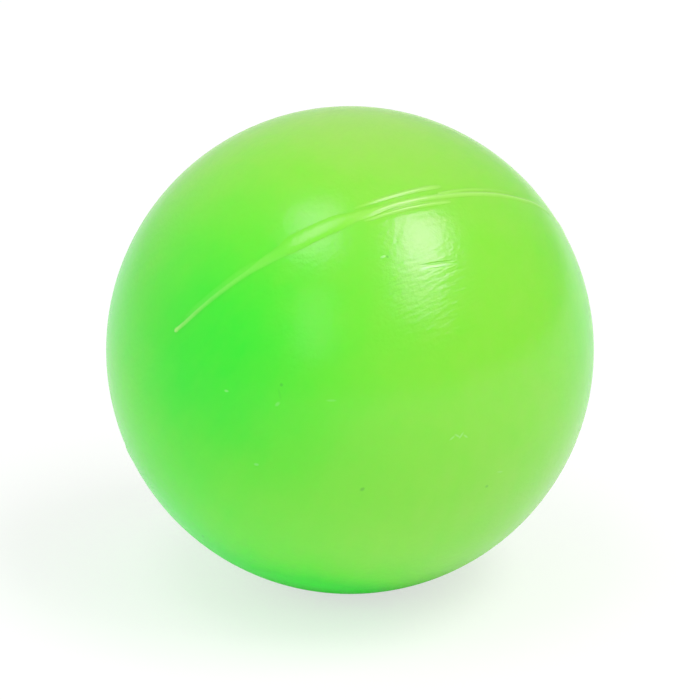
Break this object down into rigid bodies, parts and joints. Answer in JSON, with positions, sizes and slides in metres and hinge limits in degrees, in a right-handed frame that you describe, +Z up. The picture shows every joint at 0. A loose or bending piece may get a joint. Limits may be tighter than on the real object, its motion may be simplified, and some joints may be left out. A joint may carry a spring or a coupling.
{
  "type": "hollow play ball",
  "caption": "Small hollow ball of soft translucent green plastic, blow-moulded, with two long pinch-off welds on its parting line.",
  "frame": {"origin": "centre of the ball", "axes": "+Z up as the ball lies on a floor; X lies in the parting plane; the middle of the upper weld is tilted 36 degrees from +Z towards -Y, the front"},
  "size_m": [0.075, 0.075, 0.075],
  "materials": {
    "shell": "semi-gloss translucent low-density polyethylene, neon green",
    "weld": "the same plastic, paler where the pinch-off edges squeezed it"
  },
  "bodies": {
    "root": {"ball_shell": "shell", "top_pinch_weld": "weld", "tail_pinch_weld": "weld"}
  },
  "joints": []
}
